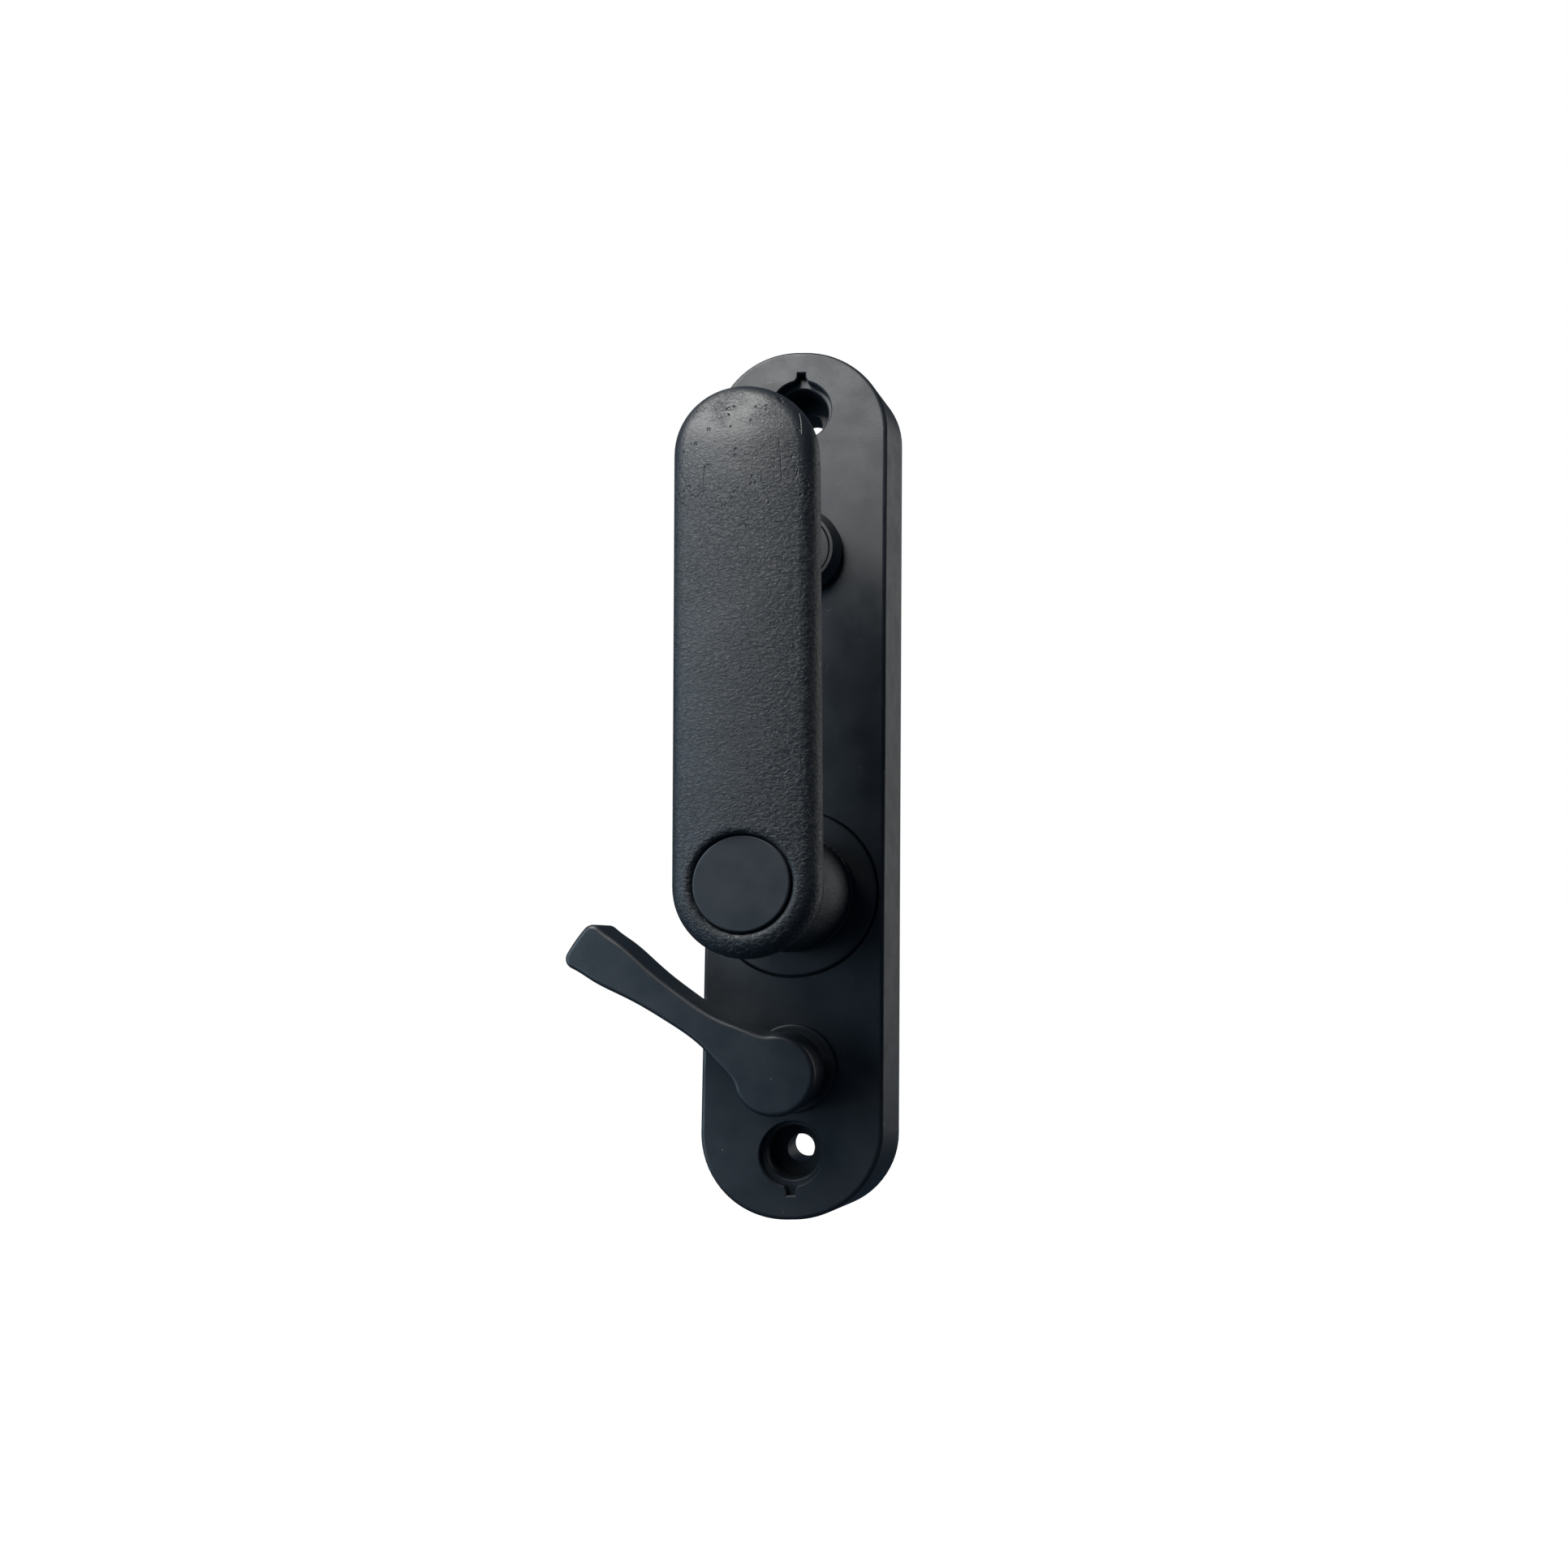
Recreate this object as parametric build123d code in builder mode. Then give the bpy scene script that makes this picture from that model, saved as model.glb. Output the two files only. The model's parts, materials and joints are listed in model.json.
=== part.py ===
from build123d import *
import os
from math import cos, radians, sin, sqrt

# Long-plate tilt turn handle for a window: a hollow plate, a big handle that turns a square
# spindle, a small latch lever below it and a key lock above it.
# Frame: +X right, +Z up, the front looks along -Y. The origin is on the axis of the big
# spindle, in the mounting face. A height is a distance in front of that face, so y = -height.

# ------------------------------------------------------------------ driving sizes, mm
plate_above = 128.0        # from the spindle axis up to the end of the plate
plate_below = 72.0
plate_width = 40.4
plate_thick = 14.6
plate_draft = 0.9          # the rear outline stands this much outside the front one
front_flat = 1.2           # the short straight at the middle of each end, at the front
rear_flat = 8.0            # and at the back, where the ends are squarer
plate_edge_r = 1.0
well_break = 0.25          # the broken edges of the wells
front_wall = 3.2
side_wall = 2.4
cover_sheet = 1.5
cover_rim = 1.5            # what the plate leaves round the cover sheet
cover_post_r = 3.0
cover_post_x = 12.5
cover_post_in = 22.0       # from each end of the plate to its pair of cover posts

fixing_inset = 14.3        # from each end of the plate to its fixing hole
fixing_hole_d = 6.2
mouth_d = 14.2             # mouth of the screw well
mouth_depth = 1.8
well_d = 12.0
well_depth = 7.9
well_wall = 2.0
notch_foot = 6.4           # the lifting notch, where it leaves the mouth
notch_tip = 1.8
notch_reach = 1.9

grip_width = 30.6
grip_top = 101.8           # from the spindle axis to the top of the grip
grip_reach = 37.4          # from the plate's face to the crown of the grip
grip_thick = 11.0
grip_crown = 2.6           # fall of the front from the middle to the side
grip_draft = 2.0           # what each side draws in towards the back
grip_edge_r = 4.2
grip_back_r = 1.2
grip_lean = 1.0            # degrees, towards -X
neck_d = 26.0
neck_top_d = 25.6
neck_foot_d = 26.8
neck_flare = 0.7           # the small arc where the neck meets the grip
foot_rim = 0.3             # the straight edge at the neck's foot
web_width = 17.0
web_reach = 13.0           # how far the web runs up the back of the grip
web_drop = 13.0            # and down the neck
journal_d = 20.0
journal_end = 5.8          # height of the journal's end
spindle_side = 7.0
spindle_tail = 32.0        # what stands out behind the mounting face
spindle_socket = 32.2      # depth of the socket from the journal's end

cap_d = 18.8
cap_drop = 1.2             # the cap's face lies this far under the crown
cap_thick = 2.6
cap_edge_r = 0.45
cap_skirt = 1.2
mouth_roll = 1.3           # the rounded lip of the cap's recess
collar_d = 37.2
collar_rise = 0.7
collar_edge_r = 0.5
collar_gap = 0.45          # the shadow gap round the collar
collar_disc = 2.3
collar_dish = 0.35
collar_flat = 0.9          # the width of the raised rim
collar_foot_gap = 0.4
collar_back = 8.5          # height of the spigot's end
spigot_d = 26.8
clip_thick = 1.1
clip_top = 7.3             # height of the front of the handle's clip
groove_depth = 0.8
washer_sheet = 0.5

latch_drop = 39.0          # from the spindle axis down to the latch's axis
latch_head_d = 17.2
latch_length = 51.4
latch_lean = 56.0          # degrees from upright, towards -X
latch_lift = 5.0           # from the plate's face to the back of the lever
latch_thick = 9.0
latch_waist = 6.6
latch_tip = 11.2
latch_edge_r = 1.1
latch_corner_r = 2.3       # the corners of the tip
latch_bow = 0.5            # how far the tip's end bows out
latch_stem_d = 12.8
latch_journal_d = 10.0
latch_end = 6.4            # height of the latch journal's end
latch_side = 5.0
latch_tail = 16.0
latch_clip_thick = 0.8
latch_clip_top = 7.9
latch_groove = 0.6
latch_skin = 2.5           # what is left between the latch's socket and its front
rose_d = 19.6
rose_rise = 1.0
rose_stem_d = 15.0
bush_back = 8.6            # height of the bush's end
nut_thick = 1.8

lock_rise = 79.2           # from the spindle axis up to the key's axis
barrel_flange_d = 20.4
barrel_rise = 3.0
barrel_bevel = 1.7
barrel_d = 17.0
barrel_back = 7.6          # height of the barrel's end
plug_head_d = 15.6
plug_head_thick = 1.6
plug_d = 12.0
plug_end = 7.3
keyway_width = 1.6
keyway_high = 8.0
keyway_depth = 5.5
crank_thick = 1.6
crank_d = 14.0
crank_r = 4.0              # from the plug's axis to the crank pin
crank_pin_d = 3.0
key_turn = 90.0            # degrees from open to locked

bolt_width = 8.0
bolt_thick = 2.8
bolt_head_width = 15.0
bolt_head_low = 7.0        # the bolt's head, below and above its slot
bolt_head_high = 5.5
bolt_stand_off = 0.9       # from the cam to the bolt's tip when open
bolt_top = 5.4             # height of the front of the bolt and the cam
cam_d = 28.0
cam_thick = 3.2
guide_width = 24.0
guide_high = 12.0
guide_rise = 4.0           # the guide sits this far above the middle of the bolt's shank
guide_rail = 1.3

small_screw_r = 1.25
small_head_r = 2.35
small_head_high = 1.1
cover_screw_length = 7.0
cap_screw_r = 2.5
cap_screw_head_r = 4.6
cap_screw_head_high = 2.8
collar_screw_r = 1.0
collar_head_r = 1.6
collar_head_high = 1.1
collar_screw_skin = 0.7    # what is left between a collar screw's tip and the collar's face
guide_head_r = 2.0
guide_head_high = 1.5
guide_screw_bite = 2.2     # how far a guide screw enters the plate's front wall
crank_screw_grip = 2.8
thread_depth = 14.0        # of the tapped hole in the big spindle
grub_r = 1.5
grub_length = 4.6
latch_nut_rim = 2.5        # what each nut stands out round its thread
barrel_nut_rim = 3.5
tip_room = 0.5             # between the end of a screw or spindle and the bottom of its hole
root = 0.5                 # how far a piece that is raised on a face is sunk into it

turn_clear = 0.06          # radial, journals and the plug
face_clear = 0.3           # between a turning face and a fixed one
slide_clear = 0.25         # each side of what slides
fit_clear = 0.1            # each side of a piece that sits still in its recess
square_clear = 0.05        # each side of a square spindle in its socket

# ------------------------------------------------------------------ places worked out
top_z = plate_above
bottom_z = -plate_below
plate_length = plate_above + plate_below
middle_z = (top_z + bottom_z) / 2
fixing_zs = (top_z - fixing_inset, bottom_z + fixing_inset)
lock_z = lock_rise
latch_z = -latch_drop
inner_face = plate_thick - front_wall
crown_h = plate_thick + grip_reach
grip_back = crown_h - grip_thick
grip_top_z = grip_top - grip_width / 2
cap_face = crown_h - cap_drop
collar_face = plate_thick + collar_rise
collar_seat = collar_face - collar_disc
collar_screw_ring = (collar_d + spigot_d) / 4
collar_screw_spots = [(collar_screw_ring * sin(radians(a)), collar_screw_ring * cos(radians(a)))
                      for a in (60, 180, 300)]
cover_spots = [(x, z) for z in (top_z - cover_post_in, middle_z, bottom_z + cover_post_in)
               for x in (-cover_post_x, cover_post_x)]
bolt_bottom = bolt_top - bolt_thick
bolt_travel = 2 * crank_r * sin(radians(key_turn / 2))
bolt_tip_z = cam_d / 2 + bolt_stand_off
pin_x = crank_r * cos(radians(key_turn / 2))
pin_z = lock_z + crank_r * sin(radians(key_turn / 2))
head_low = pin_z - bolt_head_low
head_high = pin_z + bolt_head_high
guide_z = (bolt_tip_z + head_low) / 2 + guide_rise
rail_in = bolt_width / 2 + slide_clear
rail_out = rail_in + guide_rail
guide_wing = bolt_top + 0.8
guide_screw_x = (rail_out + guide_width / 2) / 2


def front_plane(height):
    """A plane across the front: local x is +X, local y is +Z, the normal points forwards."""
    return Plane.XZ.offset(height)


def turning_plane(z):
    """A plane through an axis along Y at z: local x is a radius, local y is a height."""
    return Plane(origin=(0, 0, z), x_dir=(-1, 0, 0), z_dir=(0, 0, 1))


def turned(z, points):
    """The solid turned from a closed outline of (radius, height) points about the axis at z."""
    with BuildPart() as body:
        with BuildSketch(turning_plane(z)):
            with BuildLine():
                Polyline(*points, close=True)
            make_face()
        revolve(axis=Axis((0, 0, z), (0, -1, 0)))
    return body.part


def tube(z, outer_r, inner_r, low, high):
    """A plain ring between two heights."""
    return turned(z, [(inner_r, low), (outer_r, low), (outer_r, high), (inner_r, high)])


def screw(head_r, head_high, shank_r, length, sunk=False):
    """A cross-headed screw along Y with the head's seat at y = 0 and the shank towards +Y."""
    with BuildPart() as body:
        with BuildSketch(turning_plane(0)):
            with BuildLine():
                if sunk:
                    Polyline((0, 0), (head_r, 0), (shank_r, -head_high), (shank_r, -length),
                             (0, -length), close=True)
                else:
                    Polyline((0, head_high), (head_r * 0.75, head_high), (head_r, head_high * 0.6),
                             (head_r, 0), (shank_r, 0), (shank_r, -length), (0, -length), close=True)
            make_face()
        revolve(axis=Axis((0, 0, 0), (0, -1, 0)))
        with BuildSketch(front_plane(0 if sunk else head_high)):
            Rectangle(head_r * 1.2, head_r * 0.32)
            Rectangle(head_r * 0.32, head_r * 1.2)
        extrude(amount=-head_high * 0.6, mode=Mode.SUBTRACT)
    return body.part


def shaft_clip(z, groove_r, outer_r, low, thick):
    """A spring clip that sits in a shaft's groove, open at the top and eared beside the gap."""
    with BuildPart() as body:
        with BuildSketch(front_plane(low)):
            with Locations((0, z)):
                Circle(outer_r)
                Circle(groove_r, mode=Mode.SUBTRACT)
            with Locations((0, z + outer_r)):
                Rectangle(outer_r * 0.5, outer_r, mode=Mode.SUBTRACT)
            with Locations((outer_r * 0.42, z + outer_r * 0.95), (-outer_r * 0.42, z + outer_r * 0.95)):
                Circle(outer_r * 0.14)
                Circle(outer_r * 0.06, mode=Mode.SUBTRACT)
        extrude(amount=thick)
    return body.part


def hex_nut(z, flats, bore_r, low, high):
    """A thin hexagonal nut round the axis at z."""
    with BuildPart() as body:
        with BuildSketch(front_plane(low)):
            with Locations((0, z)):
                RegularPolygon(flats / 2, 6, major_radius=False)
                Circle(bore_r, mode=Mode.SUBTRACT)
        extrude(amount=high - low)
    return body.part


# ------------------------------------------------------------------ the plate
fixing_r = fixing_hole_d / 2
post_r = well_d / 2 + well_wall
bush_hole_r = rose_stem_d / 2 + fit_clear
barrel_hole_r = barrel_d / 2 + fit_clear

with BuildPart() as cover_plate:
    for height, draft, flat in ((0, plate_draft, rear_flat), (plate_thick, 0, front_flat)):
        with BuildSketch(front_plane(height)):
            with Locations((0, middle_z)):
                RectangleRounded(plate_width + 2 * draft, plate_length + 2 * draft,
                                 (plate_width + 2 * draft - flat) / 2)
    loft(ruled=True)
    fillet(cover_plate.faces().sort_by(Axis.Y)[0].edges(), radius=plate_edge_r)
    # hollow from behind, with a shallower seat for the cover sheet round its mouth
    with BuildSketch(front_plane(0)):
        with Locations((0, middle_z)):
            SlotOverall(plate_length - 2 * side_wall, plate_width - 2 * side_wall, rotation=90)
    extrude(amount=inner_face, mode=Mode.SUBTRACT)
    with BuildSketch(front_plane(0)):
        with Locations((0, middle_z)):
            SlotOverall(plate_length - 2 * cover_rim, plate_width - 2 * cover_rim, rotation=90)
    extrude(amount=cover_sheet, mode=Mode.SUBTRACT)
    # posts round the fixing holes reach the mounting face, the small ones carry the cover
    with BuildSketch(front_plane(0)):
        with Locations(*[(0, z) for z in fixing_zs]):
            Circle(post_r)
    extrude(amount=inner_face + root)
    with BuildSketch(front_plane(cover_sheet)):
        with Locations(*cover_spots):
            Circle(cover_post_r)
    extrude(amount=inner_face - cover_sheet + root)
    # screw wells: a wide mouth, a narrower well and the clearance hole
    for z in fixing_zs:
        outward = 1 if z > middle_z else -1
        with BuildSketch(front_plane(plate_thick)):
            with Locations((0, z)):
                Circle(mouth_d / 2)
        extrude(amount=-mouth_depth, mode=Mode.SUBTRACT)
        with BuildSketch(front_plane(plate_thick)):
            with Locations((0, z)):
                Circle(well_d / 2)
        extrude(amount=-well_depth, mode=Mode.SUBTRACT)
        with BuildSketch(front_plane(plate_thick)):
            with Locations((0, z)):
                Circle(fixing_r)
        extrude(amount=-plate_thick, mode=Mode.SUBTRACT)
        # a small notch on the outer side of each mouth lets a blade lift a cover cap
        mouth = z + outward * (sqrt(mouth_d ** 2 - notch_foot ** 2) / 2 - 0.1)
        tip = z + outward * (mouth_d / 2 + notch_reach)
        tip_foot = tip - outward * notch_tip / 4
        with BuildSketch(front_plane(plate_thick)):
            with BuildLine():
                flare = TangentArc((-notch_tip / 2, tip_foot), (-notch_foot / 2, mouth),
                                   tangent=(0, -outward))
                rise = Line(flare @ 0, (-notch_tip / 2, tip))
                mirror([flare, rise], about=Plane.YZ)
                Line((-notch_tip / 2, tip), (notch_tip / 2, tip))
                Line((-notch_foot / 2, mouth), (notch_foot / 2, mouth))
            make_face()
        extrude(amount=-mouth_depth, mode=Mode.SUBTRACT)
    mouths = cover_plate.faces().sort_by(Axis.Y)[0].inner_wires()
    ledges = cover_plate.faces().filter_by(Axis.Y).filter_by(
        lambda f: abs(f.center().Y + plate_thick - mouth_depth) < 0.01)
    for ledge in ledges:
        mouths += ledge.inner_wires()
    chamfer([e for mouth_wire in mouths for e in mouth_wire.edges()], length=well_break)
    # seat and hole for the collar, holes for the lock barrel and the latch bush
    with BuildSketch(front_plane(plate_thick)):
        Circle(collar_d / 2 + collar_gap)
    extrude(amount=-(plate_thick - collar_seat), mode=Mode.SUBTRACT)
    with BuildSketch(front_plane(plate_thick)):
        Circle(spigot_d / 2 + fit_clear)
        with Locations((0, lock_z)):
            Circle(barrel_hole_r)
        with Locations((0, latch_z)):
            Circle(bush_hole_r)
    extrude(amount=-front_wall, mode=Mode.SUBTRACT)
    # blind holes for the cover screws
    with BuildSketch(front_plane(cover_sheet)):
        with Locations(*cover_spots):
            Circle(small_screw_r)
    extrude(amount=cover_screw_length, mode=Mode.SUBTRACT)

# ------------------------------------------------------------------ the collar round the neck
bore_r = journal_d / 2 + turn_clear
collar_floor = collar_face - collar_dish
collar_inner_r = neck_foot_d / 2 + collar_foot_gap

with BuildPart() as neck_collar:
    with BuildSketch(turning_plane(0)):
        with BuildLine():
            Polyline((bore_r, collar_back), (spigot_d / 2, collar_back), (spigot_d / 2, collar_seat),
                     (collar_d / 2, collar_seat), (collar_d / 2, collar_face),
                     (collar_d / 2 - collar_flat, collar_face), (collar_inner_r, collar_floor),
                     (bore_r, collar_floor), close=True)
        make_face()
    revolve(axis=Axis((0, 0, 0), (0, -1, 0)))
    fillet(neck_collar.edges().filter_by(GeomType.CIRCLE).group_by(Axis.Y)[0].sort_by(SortBy.RADIUS)[-1],
           radius=collar_edge_r)
    with BuildSketch(front_plane(collar_seat)):
        with Locations(*collar_screw_spots):
            Circle(collar_screw_r)
    extrude(amount=collar_disc - collar_screw_skin, mode=Mode.SUBTRACT)

collar_screw = screw(head_r=collar_head_r, head_high=collar_head_high, shank_r=collar_screw_r,
                     length=collar_seat - inner_face + collar_disc - collar_screw_skin)
with BuildPart() as collar_screws:
    with Locations(*[(x, -inner_face, z) for x, z in collar_screw_spots]):
        add(collar_screw, rotation=(0, 0, 180))

# ------------------------------------------------------------------ cover sheet and its screws
sheet_side = cover_rim + fit_clear
with BuildPart() as back_cover:
    with BuildSketch(front_plane(0)):
        with Locations((0, middle_z)):
            SlotOverall(plate_length - 2 * sheet_side, plate_width - 2 * sheet_side, rotation=90)
        with Locations(*[(0, z) for z in fixing_zs]):
            Circle(post_r + fit_clear, mode=Mode.SUBTRACT)
        Circle(spindle_side / sqrt(2) + 1.0, mode=Mode.SUBTRACT)
        with Locations((0, latch_z)):
            Circle(latch_side / sqrt(2) + 1.0, mode=Mode.SUBTRACT)
    extrude(amount=cover_sheet)
    with Locations(*[Location((x, 0, z), (-90, 0, 0)) for x, z in cover_spots]):
        CounterSinkHole(radius=small_screw_r, counter_sink_radius=small_head_r + 0.05, depth=cover_sheet)

cover_screw = screw(head_r=small_head_r, head_high=small_head_high, shank_r=small_screw_r,
                    length=cover_screw_length, sunk=True)
with BuildPart() as cover_screws:
    with Locations(*[(x, 0, z) for x, z in cover_spots]):
        add(cover_screw, rotation=(0, 0, 180))

# ------------------------------------------------------------------ the big handle
socket_half = spindle_side / 2 + square_clear
socket_top = journal_end + spindle_socket
screw_seat = socket_top + 3.0
recess_floor = cap_face - cap_thick
groove_r = journal_d / 2 - groove_depth
foot_h = collar_face + face_clear
foot_flare = (neck_foot_d - neck_d) / 2
into_grip = grip_back + 0.6
head_well_r = cap_screw_head_r + 0.6

recess_r = cap_d / 2 + fit_clear


def on_recess(point):
    """True where a point lies on the wall of the cap's recess."""
    return abs(sqrt(point.X ** 2 + point.Z ** 2) - recess_r) < 0.01


with BuildPart() as grip:
    # half the grip's section, turned about each end and drawn out between them
    with BuildSketch(turning_plane(0)) as grip_half:
        with BuildLine():
            crown = ThreePointArc((0, crown_h), (grip_width * 0.25, crown_h - grip_crown * 0.25),
                                  (grip_width / 2, crown_h - grip_crown))
            Polyline(crown @ 1, (grip_width / 2 - grip_draft, grip_back), (0, grip_back), crown @ 0)
        make_face()
        fillet(grip_half.vertices().sort_by(Axis.X)[-1], radius=grip_edge_r)
        back_corners = grip_half.vertices().filter_by(lambda v: abs(v.Y - grip_back) < 0.01)
        fillet(back_corners.sort_by(Axis.X)[-1], radius=grip_back_r)
    revolve(axis=Axis((0, 0, 0), (0, -1, 0)))
    extrude(grip_half.sketch, amount=grip_top_z)
    extrude(mirror(grip_half.sketch, about=Plane.YZ, mode=Mode.PRIVATE), amount=grip_top_z)
    top_half = grip_half.sketch.moved(Location((0, 0, grip_top_z)))
    revolve(top_half, axis=Axis((0, 0, grip_top_z), (0, -1, 0)))

with BuildPart() as handle_lever:
    add(grip.part, rotation=(0, -grip_lean, 0))
    # the neck spreads at its foot and again where it meets the grip
    with BuildSketch(turning_plane(0)):
        with BuildLine():
            foot = TangentArc((neck_foot_d / 2, foot_h + foot_rim),
                              (neck_d / 2, foot_h + foot_rim + foot_flare),
                              tangent=(-1, 0))
            flank = Line(foot @ 1, (neck_top_d / 2, grip_back - neck_flare))
            swell = TangentArc(flank @ 1, (neck_top_d / 2 + neck_flare, grip_back), tangent=(0, 1))
            Polyline(swell @ 1, (neck_top_d / 2 + neck_flare, into_grip), (0, into_grip), (0, foot_h),
                     (neck_foot_d / 2, foot_h), foot @ 0)
        make_face()
    revolve(axis=Axis((0, 0, 0), (0, -1, 0)))
    # a web under the grip eases the neck into its back
    with BuildSketch(Plane.YZ):
        with BuildLine():
            web = ThreePointArc((-(grip_back - web_drop), neck_d / 2 - 2.0),
                                (-(grip_back - web_drop * 0.32), neck_d / 2 + web_reach * 0.25),
                                (-(grip_back + 0.4), neck_d / 2 + web_reach))
            Polyline(web @ 1, (-(grip_back + 0.4), 0), (-(grip_back - web_drop), 0), web @ 0)
        make_face()
    extrude(amount=web_width / 2, both=True)
    # the journal behind, with a groove for its clip
    with BuildSketch(turning_plane(0)):
        with BuildLine():
            Polyline((0, foot_h), (journal_d / 2, foot_h), (journal_d / 2, clip_top),
                     (groove_r, clip_top), (groove_r, clip_top - clip_thick),
                     (journal_d / 2 - 0.3, clip_top - clip_thick), (journal_d / 2 - 0.3, journal_end),
                     (0, journal_end), close=True)
        make_face()
    revolve(axis=Axis((0, 0, 0), (0, -1, 0)))
    # square socket from behind, screw hole, head well and the cap's recess from the front
    with BuildSketch(front_plane(journal_end)):
        Rectangle(2 * socket_half, 2 * socket_half)
    extrude(amount=socket_top - journal_end, mode=Mode.SUBTRACT)
    with BuildSketch(front_plane(socket_top)):
        Circle(cap_screw_r + fit_clear)
    extrude(amount=crown_h - socket_top, mode=Mode.SUBTRACT)
    with BuildSketch(front_plane(screw_seat)):
        Circle(head_well_r)
    extrude(amount=crown_h - screw_seat, mode=Mode.SUBTRACT)
    with BuildSketch(front_plane(recess_floor)):
        Circle(recess_r)
    extrude(amount=crown_h - recess_floor, mode=Mode.SUBTRACT)
    lip = handle_lever.edges().filter_by(lambda e: on_recess(e @ 0.5) and on_recess(e @ 0.25))
    fillet(lip.filter_by(lambda e: e.center().Y < -cap_face), radius=mouth_roll)

with BuildPart() as handle_cap:
    with BuildSketch(front_plane(recess_floor)):
        Circle(cap_d / 2)
    extrude(amount=cap_thick)
    fillet(handle_cap.edges().filter_by(GeomType.CIRCLE).sort_by(Axis.Y)[0], radius=cap_edge_r)
    with BuildSketch(front_plane(recess_floor - cap_skirt)):
        Circle(head_well_r - 0.05)
        Circle(head_well_r - 1.2, mode=Mode.SUBTRACT)
    extrude(amount=cap_skirt)

spindle_front = socket_top - tip_room
with BuildPart() as drive_spindle:
    with BuildSketch(front_plane(-spindle_tail)):
        Rectangle(spindle_side, spindle_side)
    extrude(amount=spindle_tail + spindle_front)
    chamfer(drive_spindle.faces().sort_by(Axis.Y)[-1].edges(), length=0.6)
    with BuildSketch(front_plane(spindle_front)):
        Circle(cap_screw_r)
    extrude(amount=-thread_depth, mode=Mode.SUBTRACT)

with BuildPart() as spindle_screw:
    add(screw(head_r=cap_screw_head_r, head_high=cap_screw_head_high, shank_r=cap_screw_r,
              length=screw_seat - spindle_front + thread_depth - 4 * tip_room)
        .moved(Location((0, -screw_seat, 0))))

notch_floor = bolt_tip_z - bolt_travel - tip_room
with BuildPart() as spindle_cam:
    with BuildSketch(front_plane(bolt_top - cam_thick)):
        Circle(cam_d / 2)
        Rectangle(2 * socket_half, 2 * socket_half, mode=Mode.SUBTRACT)
        # one notch for the bolt at each end of the handle's half turn
        with Locations((0, notch_floor + cam_d / 2), (0, -notch_floor - cam_d / 2)):
            Rectangle(2 * rail_in, cam_d, mode=Mode.SUBTRACT)
    extrude(amount=cam_thick)

# a curved spring washer: a bent strip cut to a ring, between the collar and the clip
washer_low = clip_top
washer_high = collar_back - fit_clear
washer_r = spigot_d / 2 - 0.4
with BuildPart() as spring_washer:
    with BuildSketch(Plane.XY):
        with BuildLine():
            rise = washer_high - washer_sheet - washer_low
            lower = ThreePointArc((-washer_r, -washer_low), (0, -(washer_low + rise)),
                                  (washer_r, -washer_low))
            upper = ThreePointArc((-washer_r, -washer_low - washer_sheet), (0, -washer_high),
                                  (washer_r, -washer_low - washer_sheet))
            Line(lower @ 0, upper @ 0)
            Line(lower @ 1, upper @ 1)
        make_face()
    extrude(amount=washer_r, both=True)
    with BuildSketch(front_plane(washer_low - 1.0)):
        Circle(washer_r - 0.1)
        Circle(journal_d / 2 + 0.3, mode=Mode.SUBTRACT)
    extrude(amount=4.0, mode=Mode.INTERSECT)

with BuildPart() as handle_clip:
    add(shaft_clip(z=0, groove_r=groove_r, outer_r=washer_r - 0.4, low=clip_top - clip_thick,
                   thick=clip_thick))

# ------------------------------------------------------------------ the latch lever
latch_back = plate_thick + latch_lift
latch_front = latch_back + latch_thick
latch_foot = plate_thick + rose_rise + face_clear
latch_groove_r = latch_journal_d / 2 - latch_groove
latch_socket = latch_side / 2 + square_clear
lean = radians(latch_lean)
grub_h = latch_back + latch_thick / 2


def arm_plane(height):
    """Across the front at a height, with its origin on the latch's axis and local x along the arm."""
    return Plane(origin=(0, -height, latch_z), x_dir=(-sin(lean), 0, cos(lean)), z_dir=(0, -1, 0))


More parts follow.
